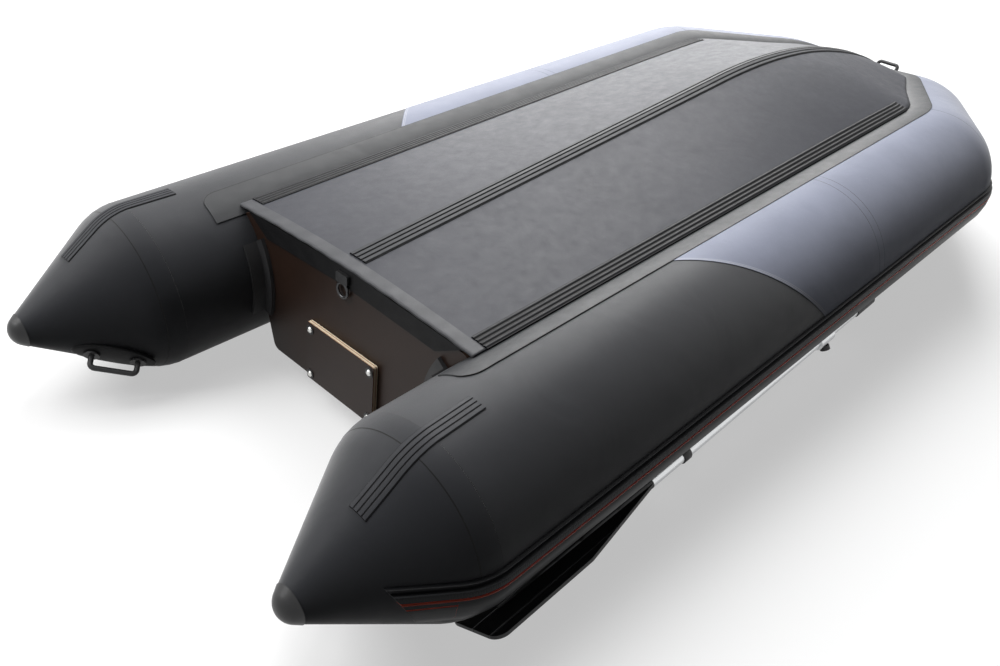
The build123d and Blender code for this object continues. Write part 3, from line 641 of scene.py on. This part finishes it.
rows = strip_rows(seam_strip_aft, seam_strip_fore, strip_row_gap)
height = strip_heights(len(rows), seam_fullness)
seam_radius = cone_radius(rows)[:, None]
seam_middle = np.interp(rows, (seam_strip_aft, seam_strip_fore), seam_strip_angles)[:, None]
seam_angle = seam_middle + over_strip * seam_strip_width / 2 / seam_radius
seam_strip = on_run(
    0, rows[:, None], seam_angle, seam_radius + seam_strip_lift + seam_strip_flatness * height)
cone_finish = ribbed_rubber("cone_strip_rubber", cone_rubber, 0.13)
dress_pair(
    "cone_ribbed_strip", seam_strip, cone_finish, "black_rubber", "seam_strip", flip=True,
    values={"height": height})


# Rub strake: one extruded rubber band glued along the widest line of the tubes, from cone to cone round the
# bow. It has a thin upper lip, a broad ridge with a knurled band, and below that a bead with a red line. At
# each end a short second red line runs under the first.
rub_top, rub_bottom = radians(7), radians(-23)
rub_height, rub_seat, rub_tuck = 0.012, 0.0015, -0.1
rub_profile = np.array([
    # share of the half width, from the upper edge down, and share of the height
    (1.0, rub_tuck), (0.99, 0.35), (0.96, 0.5), (0.93, 0.45), (0.90, 0.12), (0.78, 0.12), (0.75, 0.72),
    (0.71, 0.86), (0.56, 0.96), (0.51, 1.0), (0.48, 0.84), (0.45, 0.84), (0.43, 0.98), (0.40, 1.0),
    (0.37, 0.98), (0.35, 0.84), (0.30, 0.84), (0.26, 0.95), (0.0, 0.95), (-0.5, 0.75), (-0.8, 0.48),
    (-0.95, 0.3), (-1.0, rub_tuck)])
rub_aft_top, rub_aft_bottom = -0.150, -0.095
rub_rubber, rub_red = (0.008, 0.0085, 0.0095), (0.70, 0.090, 0.052)
# The pale colours are painted highlights along the upper lip and the ridge.
lip_painted_highlight, ridge_painted_highlight = (0.06, 0.06, 0.063), (0.06, 0.062, 0.066)
red_share, red_tail_end, red_tail_share = 0.40, -0.045, 0.17
knurl_share, knurl_half, knurl_turns = 0.62, 0.07, 1300.0

rub_share, rub_level = rub_profile.T
rub_half, rub_middle = (rub_top - rub_bottom) / 2, (rub_top + rub_bottom) / 2
rub_aft = rub_aft_bottom + (rub_aft_top - rub_aft_bottom) * (rub_share + 1) / 2
cone_part = rub_aft + (cone_bend - rub_aft) * np.concatenate([[0, 0], np.linspace(0, 1, 26)[1:-1]])[:, None]
cone_level = np.where(np.arange(len(cone_part))[:, None] > 0, rub_level, rub_tuck)
cone_reach = cone_radius(cone_part)
rub_cone = on_run(
    0, cone_part, rub_middle + rub_share * rub_half * tube_radius / cone_reach,
    cone_reach + rub_seat + cone_level * rub_height)
rub_rows = collar_rows(cone_bend, 2 * nose_station - cone_bend)
rub_side = on_collar(
    rub_rows[:, None], rub_middle + rub_share * rub_half, tube_radius + rub_seat + rub_level * rub_height)
rub_grid = np.concatenate([rub_cone, rub_side, mirrored(rub_cone)[::-1]])
rub_along = np.concatenate([
    cone_part, np.broadcast_to(rub_rows[:, None], rub_side.shape[:2]), 2 * nose_station - cone_part[::-1]])
to_rub_end = np.minimum(rub_along, 2 * nose_station - rub_along)
red_tail = np.where(to_rub_end < red_tail_end, rub_share - red_tail_share, 1.0)
rub_finish, rub_tree, rub_shader = new_finish("rub_strake_rubber")
rub_place = own_place(rub_tree)
# Thin pale lines on the lip and the ridge are painted highlights; the red lines are the rubber's own.
rub_tint = lined(rub_tree, clouded(rub_tree, rub_place, rub_rubber, 18.0, 0.3), (
    ("across", red_share, 0.055, rub_red), ("from_tail", 0.0, 0.035, rub_red),
    ("across", 0.95, 0.018, lip_painted_highlight), ("across", 0.72, 0.022, ridge_painted_highlight)))
knurl_wave = worked(rub_tree, "SINE", worked(rub_tree, "MULTIPLY", own_value(rub_tree, "along"), knurl_turns))
knurl_band = worked(rub_tree, "COMPARE", own_value(rub_tree, "across"), knurl_share, knurl_half)
knurl = worked(rub_tree, "MULTIPLY", knurl_wave, knurl_band)
rub_grain = bumped(rub_tree, mottle(rub_tree, rub_place, 480.0, 2.0), 0.15, 0.0006)
fill(rub_tree, rub_shader, {
    "Base Color": rub_tint, "Normal": bumped(rub_tree, knurl, 0.35, 0.0010, rub_grain),
    "Roughness": 0.42, "Specular IOR Level": 0.1})
rub_strake = piece_from_grid(
    "rub_strake", rub_grid, flip=True, crease=35,
    values={"across": rub_share, "along": rub_along, "from_tail": red_tail})
dress(rub_strake, rub_finish, "black_rubber", *[
    name + part for name, other in sides for part in ("_rub_side", "_rub_shoulder", "_rub_nose")])


# Transom: a board of plywood faced with dark brown film, with a pad of the same on each face where the motor
# clamps on. The sawn edges show the pale plies.
transom_lean = radians(5.5)
board_thickness, pad_thickness, film_thickness = 0.032, 0.015, 0.0011
film_brown, ply_pale = (0.017, 0.0085, 0.0055), (0.78, 0.68, 0.50)
edge_sealed = (0.085, 0.05, 0.035)

board_up = np.array([sin(transom_lean), 0, cos(transom_lean)])
board_aft = np.array([-cos(transom_lean), 0, sin(transom_lean)])
board_side = np.array([0.0, -1, 0])
board_foot = np.array([transom_x, 0, keel_aft_height])
board_middle = board_foot - board_up * keel_aft_height / cos(transom_lean)


def distance_along(tree, place, spot, way):
    """How far the point lies from a spot of the level boat, measured along a direction."""
    from_spot = put(tree, "ShaderNodeVectorMath", {0: place, 1: lay(spot)}, operation="SUBTRACT").outputs[0]
    reach = put(tree, "ShaderNodeVectorMath", {0: from_spot, 1: tip @ way}, operation="DOT_PRODUCT")
    return reach.outputs["Value"]


def film_plywood(name, spot, way, thickness, film, edge, plies, gloss):
    """Film-faced plywood. The depth below the face, the distance from a spot on it along its direction, tells
    the film on both faces from the plies at the sawn edge."""
    material, tree, shader = new_finish(name)
    place = own_place(tree)
    depth = distance_along(tree, place, spot, -way)
    inside = worked(tree, "COMPARE", depth, thickness / 2, thickness / 2 - film_thickness)
    layer = worked(tree, "SINE", worked(tree, "MULTIPLY", depth, 2 * pi * plies / thickness))
    layer = ranged(tree, layer, 0.2, 0.6)
    fibre = mottle(tree, place, 120.0, 6.0, 0.8)
    fibres = tinted(tree, fibre, [c * 0.75 for c in edge], [min(c * 1.2, 1) for c in edge])
    sawn = tinted(tree, layer, fibres, [c * f for c, f in zip(edge, (0.62, 0.42, 0.36))])
    face = clouded(tree, place, film, 14.0, 0.3)
    mesh_print = put(tree, "ShaderNodeTexVoronoi", {"Vector": place, "Scale": 330.0, "Randomness": 0.25})
    printed = bumped(tree, mesh_print.outputs["Distance"], 0.12, 0.0008)
    scratch = mottle(tree, place, 70.0, 8.0, 0.8)
    fill(tree, shader, {
        "Base Color": tinted(tree, inside, face, sawn),
        "Roughness": ranged(tree, inside, 0, 1, gloss, 0.75),
        "Normal": bumped(tree, scratch, 0.15, 0.0012, printed),
        "Specular IOR Level": 0.2})
    return material


paint(film_plywood(
    "transom_plywood", board_middle, board_aft, board_thickness, film_brown, edge_sealed, 7, 0.40), "transom")
for pad, level in (("outer", pad_thickness), ("inner", -board_thickness)):
    paint(film_plywood(
        pad + "_pad_plywood", board_middle + board_aft * level, board_aft, pad_thickness,
        film_brown, ply_pale, 2, 0.36), "motor_pad_" + pad)


# Pad bolts: four round-headed steel bolts hold the pads to the board between them. Each has a black plastic
# washer under its head.
bolt_side, bolt_high, bolt_low = 0.118, -0.018, -0.153
bolt_head, washer_radius = 0.0085, 0.0135

head_outline = np.array([
    (0.0, 0.0072), (0.35, 0.0068), (0.65, 0.0058), (0.9, 0.0040), (1.0, 0.0022), (1.0, 0.0008)])
washer_outline = np.array([(0.55, 0.0020), (0.85, 0.0024), (0.97, 0.0018), (1.0, -0.0002)])
bolt_turn = np.linspace(0, 2 * pi, 32, endpoint=False)
bolt_spots = np.array([
    board_middle + board_aft * pad_thickness + board_side * away + board_up * high
    for high in (bolt_high, bolt_low) for away in (-bolt_side, bolt_side)])


def round_on_board(outline, radius):
    """The outline, shares of a radius and heights, turned about each bolt's axis on the outer pad."""
    spread = radius * outline[:, :1, None] * (
        np.cos(bolt_turn)[None, :, None] * board_side + np.sin(bolt_turn)[None, :, None] * board_up)
    return bolt_spots[:, None, None] + spread + outline[:, 1, None, None] * board_aft


def brushed_metal(name, colour, rough, stretch):
    """Metal with fine brush marks: noise that is drawn out one way, in its polish and in its bump."""
    material, tree, shader = new_finish(name)
    place = put(tree, "ShaderNodeMapping", {"Vector": own_place(tree), "Scale": stretch}).outputs["Vector"]
    marks = mottle(tree, place, 60.0, 6.0, 0.7)
    fill(tree, shader, {
        "Base Color": tinted(tree, marks, [c * 0.8 for c in colour], [min(c * 1.12, 1) for c in colour]),
        "Roughness": ranged(tree, marks, 0, 1, rough - 0.08, rough + 0.1),
        "Normal": bumped(tree, marks, 0.08, 0.0005),
        "Metallic": 1.0})
    return material


bolt_steel = brushed_metal("bolt_steel", (0.62, 0.62, 0.60), 0.3, (1, 1, 1))
bolts = piece_from_grid("pad_bolts", round_on_board(head_outline, bolt_head), wrap=True)
dress(bolts, bolt_steel, "ring_metal")
washers = piece_from_grid("pad_washers", round_on_board(washer_outline, washer_radius), wrap=True)
dress(washers, black_plastic, "black_plastic")


# Skirt: the bottom's fabric, turned down over the board's edge and glued to its outer face as a dark band,
# which is shorter along its lower edge. It is coloured near black, far darker than the bottom: partly its own
# dark tone, partly painted shade under the hem's edge.
skirt_top, skirt_depth, skirt_lift = 0.006, 0.050, 0.0032
skirt_wrinkle, skirt_glued = 0.0008, 0.0002
skirt_half, skirt_low_half = 0.404, 0.322
# Near black: partly the band's own tone, partly painted shade under the hem.
skirt_shade_cloth = (0.005, 0.005, 0.0055)

skirt_share = np.linspace(-1, 1, 121)
down = np.array([0, 0, 0.1, 0.35, 0.65, 0.9, 1, 1])[:, None]
skirt_y = skirt_share * (skirt_half + (skirt_low_half - skirt_half) * down)
edge_fall = (keel_aft_height - edge_row[0, 2]) / abs(edge_row[0, 1])
skirt_z = (keel_aft_height - edge_fall * np.abs(skirt_y)) / cos(transom_lean) - skirt_top - skirt_depth * down
skirt_out = skirt_lift + skirt_wrinkle * np.sin(23 * skirt_share) * down * (1 - down) * 4
skirt_out[[0, -1]] = skirt_glued
skirt_grid = (
    board_middle + skirt_y[..., None] * -board_side + skirt_z[..., None] * board_up
    + skirt_out[..., None] * board_aft)
skirt_fabric = coated_cloth("skirt_coated_fabric", skirt_shade_cloth, rough=0.5, sheen=0.12)
skirt = piece_from_grid("transom_skirt_band", skirt_grid)
dress(skirt, skirt_fabric, "black_fabric", "transom_skirt")


# Transom holders and towing ring: moulded rubber angles glue the board to the tubes, and a dark wire ring
# hangs in a plate on the skirt.
holder_rubber = moulded("holder_rubber", (0.018, 0.018, 0.019), 0.5, sheen=0.35, grain=260.0)
paint(holder_rubber, "port_transom_holder", "starboard_transom_holder")
paint(brushed_metal("ring_dark_steel", (0.06, 0.06, 0.062), 0.38, (1, 1, 1)), "transom_ring")


# Carrying handles: moulded rubber grips, one over the nose and one on the inner side of each stern cone. The
# first is glued on an oval patch of coated fabric, and the others on oval bases that fill up to the grip.
stern_handle_x, stern_handle_angle, bow_handle_angle = -0.112, radians(-146), radians(69)
patch_half_length, bow_patch_half_length, patch_half_width, patch_lift = 0.098, 0.118, 0.040, 0.0022
base_radius, base_slope = 0.1587, 0.728

disc_share = np.array([0, 0.25, 0.5, 0.75, 0.9, 0.97, 1, 1])[:, None]
disc_turn = np.linspace(0, 2 * pi, 48, endpoint=False)
disc_rise = np.array([1, 1, 1, 1, 1, 0.95, 0.7, -0.2])[:, None]
patch_x = stern_handle_x + patch_half_length * disc_share * np.cos(disc_turn) * cos(cone_slant)
patch_reach = cone_radius(patch_x)
patch_angle = stern_handle_angle + patch_half_width * disc_share * np.sin(disc_turn) / patch_reach
base_level = base_radius + base_slope * (patch_x - stern_handle_x)
stern_patch = on_run(0, patch_x, patch_angle, patch_reach + (base_level - patch_reach) * disc_rise)
bow_patch = on_collar(
    nose_station + bow_patch_half_length * disc_share * np.cos(disc_turn),
    bow_handle_angle + patch_half_width * disc_share * np.sin(disc_turn) / tube_radius,
    tube_radius + lap_lift + patch_lift * disc_rise)
handle_rubber = moulded("handle_rubber", (0.014, 0.014, 0.015), 0.46, grain=300.0)
dress_pair("stern_handle_patch", stern_patch, skirt_fabric, "black_fabric", wrap=True)
dress(piece_from_grid("bow_handle_patch", bow_patch, wrap=True), skirt_fabric, "black_fabric")
paint(handle_rubber, "port_stern_handle", "starboard_stern_handle", "bow_handle")


# Oars: an anodised aluminium tube with a rubber grip and a moulded plastic blade, stiffened by fine grooves
# along it. Each turns on the pin of its rowlock, a plastic clip holds the shaft to the tube, and a plastic
# sleeve covers the joint of the shaft beside the clip.
blade_reach, blade_angle, blade_height = 0.150, radians(-48.5), 0.029
blade_plastic, blade_turn = (0.010, 0.010, 0.011), radians(-6.5)
groove_gap, groove_half = 0.025, 0.0028
shaft_radius = 0.015
sleeve_reach, sleeve_length, sleeve_thickness = 0.742, 0.030, 0.0035

blade_spot = on_run(0, blade_reach, blade_angle, tube_radius + blade_height)
oar_along = (blade_spot - pin_spot) / np.linalg.norm(blade_spot - pin_spot)
pin_way = on_run(0, rowlock_reach, rowlock_angle, 1.0) - on_run(0, rowlock_reach, rowlock_angle, 0.0)
pin_way = pin_way - oar_along * (pin_way @ oar_along)
pin_way = pin_way / np.linalg.norm(pin_way)
blade_across = cos(blade_turn) * np.cross(pin_way, oar_along) + sin(blade_turn) * pin_way


def grooved_blade(name, spot, way):
    """Moulded plastic with even, fine grooves across the blade: a bump, and a paler painted highlight."""
    material, tree, shader = new_finish(name)
    place = own_place(tree)
    to_groove = worked(tree, "PINGPONG", distance_along(tree, place, spot, way), groove_gap)
    groove = ranged(tree, to_groove, 0.0, groove_half, 1.0, 0.0, "SMOOTHSTEP")
    tint = clouded(tree, place, blade_plastic, 16.0, 0.25)
    grain = bumped(tree, mottle(tree, place, 380.0, 3.0), 0.18, 0.0006)
    # The grooves are painted paler, a painted highlight along them.
    fill(tree, shader, {
        "Base Color": tinted(tree, groove, tint, [c * 2.4 for c in blade_plastic]),
        "Normal": bumped(tree, groove, 0.8, 0.002, grain),
        "Roughness": 0.4, "Specular IOR Level": 0.4})
    return material


shaft_metal = brushed_metal("shaft_aluminium", (0.72, 0.73, 0.74), 0.26, (0.15, 1, 1))
for name, other in sides:
    spot, way = (mirrored(pin_spot), mirrored(blade_across)) if other else (pin_spot, blade_across)
    paint(grooved_blade(name + "_blade_plastic", spot, way), name + "_oar_blade")
    paint(shaft_metal, name + "_oar_shaft")
    paint(handle_rubber, name + "_oar_grip")
    paint(black_plastic, name + "_rowlock", name + "_oar_clip")

sleeve_rows = sleeve_length * np.array([-0.5, -0.5, -0.45, 0.45, 0.5, 0.5])[:, None, None]
sleeve_reaches = shaft_radius + sleeve_thickness * np.array([-0.2, 0.7, 1, 1, 0.7, -0.2])[:, None, None]
sleeve_turn = np.linspace(0, 2 * pi, 48, endpoint=False)[None, :, None]
sleeve_side = np.cross(oar_along, pin_way)
sleeve = pin_spot + oar_along * (sleeve_reach + sleeve_rows) + sleeve_reaches * (
    np.cos(sleeve_turn) * pin_way + np.sin(sleeve_turn) * sleeve_side)
dress_pair("shaft_sleeve", sleeve, black_plastic, "black_plastic", flip=True, on_oar=True, wrap=True)


# Air deck: an inflated floor of drop-stitch fabric between the tubes, flat, with round edges and a non-slip
# pattern pressed into it.
deck_aft, deck_fore = 0.402, 2.373
deck_low, deck_thickness, deck_corner = 0.090, 0.060, 0.240
deck_edge, deck_gap, deck_squareness = 0.03, 0.001, 0.22
deck_cloth = (0.055, 0.057, 0.062)

deck_rows = np.concatenate([
    deck_aft + deck_edge * (1 - np.cos(np.linspace(0, pi / 2, 8))),
    np.linspace(deck_aft + 2 * deck_edge, deck_fore - deck_corner, 40),
    deck_fore - deck_corner * (1 - np.sin(np.linspace(0, pi / 2, 25)[1:]))])
along_side = (deck_rows / knots[1][0])[:, None]
axis_half, axis_level = (knots[0] + (knots[1] - knots[0]) * along_side)[:, 1:].T * np.array([[-1], [1]])
deck_half = axis_half - np.sqrt(tube_radius ** 2 - (deck_low - axis_level) ** 2) - deck_gap
into_corner = np.clip((deck_rows - (deck_fore - deck_corner)) / deck_corner, 0, 1)
deck_half = deck_half - deck_corner * (1 - np.sqrt(1 - into_corner ** 2))
deck_full = np.clip(np.minimum(deck_rows - deck_aft, deck_fore - deck_rows) / deck_edge, 0, 1)
deck_full = np.sqrt(1 - (1 - deck_full) ** 2)
deck_turn = np.linspace(0, 2 * pi, 96, endpoint=False)
deck_y, deck_z = [
    np.sign(wave) * np.abs(wave) ** deck_squareness for wave in (np.cos(deck_turn), np.sin(deck_turn))]
deck_grid = np.stack(np.broadcast_arrays(
    deck_rows[:, None], deck_half[:, None] * deck_y,
    deck_low + deck_thickness / 2 * (1 + deck_z * deck_full[:, None])), axis=-1)
deck_finish, deck_tree, deck_shader = new_finish("deck_coated_fabric")
deck_place = own_place(deck_tree)
diamonds = put(deck_tree, "ShaderNodeMapping", {"Vector": deck_place, "Rotation": (0, 0, radians(45))})
pressed = put(deck_tree, "ShaderNodeTexBrick", {
    "Vector": diamonds.outputs["Vector"], "Scale": 36.0, "Mortar Size": 0.05,
    "Brick Width": 0.5, "Row Height": 0.5})
fill(deck_tree, deck_shader, {
    "Base Color": clouded(deck_tree, deck_place, deck_cloth, 9.0, 0.15),
    "Normal": bumped(deck_tree, pressed.outputs["Fac"], 0.5, -0.0012), "Roughness": 0.6})
deck = piece_from_grid("inflated_deck", deck_grid, wrap=True, flip=True)
dress(deck, deck_finish, "deck_fabric", "air_deck")


# Benches and valves: two boards of varnished plywood are held between the tubes, and each tube has two
# plastic valves on its inner side.
bench_level, bench_thickness = -0.105, 0.022
bench_face, bench_edge = (0.30, 0.19, 0.095), (0.42, 0.32, 0.2)

bench_plywood = film_plywood(
    "bench_plywood", np.array([0, 0, bench_level - bench_thickness]), np.array([0.0, 0, -1]), bench_thickness,
    bench_face, bench_edge, 5, 0.34)
paint(bench_plywood, "aft_bench", "fore_bench")
paint(black_plastic, "port_valves", "starboard_valves")


# Floor, light and camera: a plain pale floor, which glows a little to the eye and turns white away from the
# boat. Four large soft lamps above the boat and beyond it let the tubes shine on top and leave their sides
# dark. The camera stands off the port quarter and looks down on the bottom.
floor_size, clear_start, clear_end, floor_glow = 40.0, 2.6, 5.5, 0.5
floor_colour, floor_bounce, world_bounce = (0.86, 0.86, 0.86), (0.03, 0.03, 0.03), 0.03
lamp_target = (0.0, 0.0, 0.3)
camera_spot = (-0.8215, -1.5797, 1.4228)
camera_yaw, camera_dip, camera_roll = radians(43.64), radians(-36.04), radians(2.47)
focal_pixels, image_width, sensor = 961.16, 1000, 36.0


def seen_rays(tree):
    """1 for what is seen, directly or in a mirror or through glass, and 0 for the light that spreads."""
    rays = put(tree, "ShaderNodeLightPath").outputs
    straight = worked(tree, "MAXIMUM", rays["Is Camera Ray"], rays["Is Glossy Ray"])
    return worked(tree, "MAXIMUM", straight, rays["Is Transmission Ray"])


half = floor_size / 2
floor_mesh = bpy.data.meshes.new("floor")
floor_mesh.from_pydata(
    [(-half, -half, 0), (half, -half, 0), (half, half, 0), (-half, half, 0)], [], [(0, 1, 2, 3)])
floor = bpy.data.objects.new("floor", floor_mesh)
bpy.context.scene.collection.objects.link(floor)
floor_finish, floor_tree, floor_shader = new_finish("pale_floor")
floor_seen = seen_rays(floor_tree)
from_boat = put(floor_tree, "ShaderNodeVectorMath", {0: own_place(floor_tree)}, operation="LENGTH")
glow = ranged(floor_tree, from_boat.outputs["Value"], clear_start, clear_end, floor_glow, 1.0, "SMOOTHSTEP")
floor_tint = tinted(floor_tree, floor_seen, floor_bounce, floor_colour)
fill(floor_tree, floor_shader, {
    "Base Color": tinted(floor_tree, glow, floor_tint, floor_bounce),
    "Emission Strength": worked(floor_tree, "MULTIPLY", floor_seen, glow), "Emission Color": (1, 1, 1, 1),
    "Roughness": 1.0, "Specular IOR Level": 0.0})
floor_mesh.materials.append(floor_finish)

world = bpy.data.worlds.new("studio")
bpy.context.scene.world = world
world.use_nodes = True
sky = world.node_tree
fill(sky, sky.nodes["Background"], {
    "Strength": ranged(sky, seen_rays(sky), 0, 1, world_bounce, 1.0), "Color": (1, 1, 1, 1)})


def soft_lamp(name, spot, size, power):
    """A square area lamp at a spot, turned to face the lamps' target."""
    lamp = bpy.data.lights.new(name, "AREA")
    lamp.size, lamp.energy = size, power
    holder = bpy.data.objects.new(name, lamp)
    aim = np.array(lamp_target) - np.array(spot)
    holder.location = spot
    holder.rotation_euler = (pi / 2 + atan2(aim[2], hypot(aim[0], aim[1])), 0, atan2(aim[1], aim[0]) - pi / 2)
    bpy.context.scene.collection.objects.link(holder)


soft_lamp("bow_lamp", (3.6, 3.4, 2.9), 4.4, 340)
soft_lamp("high_lamp", (2.0, 1.9, 4.6), 3.0, 240)
soft_lamp("top_lamp", (-0.4, 0.8, 4.8), 2.8, 80)
soft_lamp("stern_lamp", (-3.0, 2.2, 3.3), 3.0, 200)

forward = np.array([cos(camera_dip) * cos(camera_yaw), cos(camera_dip) * sin(camera_yaw), sin(camera_dip)])
level_right = np.array([sin(camera_yaw), -cos(camera_yaw), 0])
level_up = np.cross(level_right, forward)
view = np.eye(4)
view[:3, 0] = tip @ (cos(camera_roll) * level_right + sin(camera_roll) * level_up)
view[:3, 1] = tip @ (cos(camera_roll) * level_up - sin(camera_roll) * level_right)
view[:3, 2] = tip @ -forward
view[:3, 3] = lay(camera_spot)
camera_data = bpy.data.cameras.new("camera")
camera_data.sensor_width, camera_data.lens = sensor, focal_pixels * sensor / image_width
camera = bpy.data.objects.new("camera", camera_data)
camera.matrix_world = view.T.tolist()
bpy.context.scene.collection.objects.link(camera)
bpy.context.scene.camera = camera
bpy.context.scene.view_settings.view_transform = "Standard"
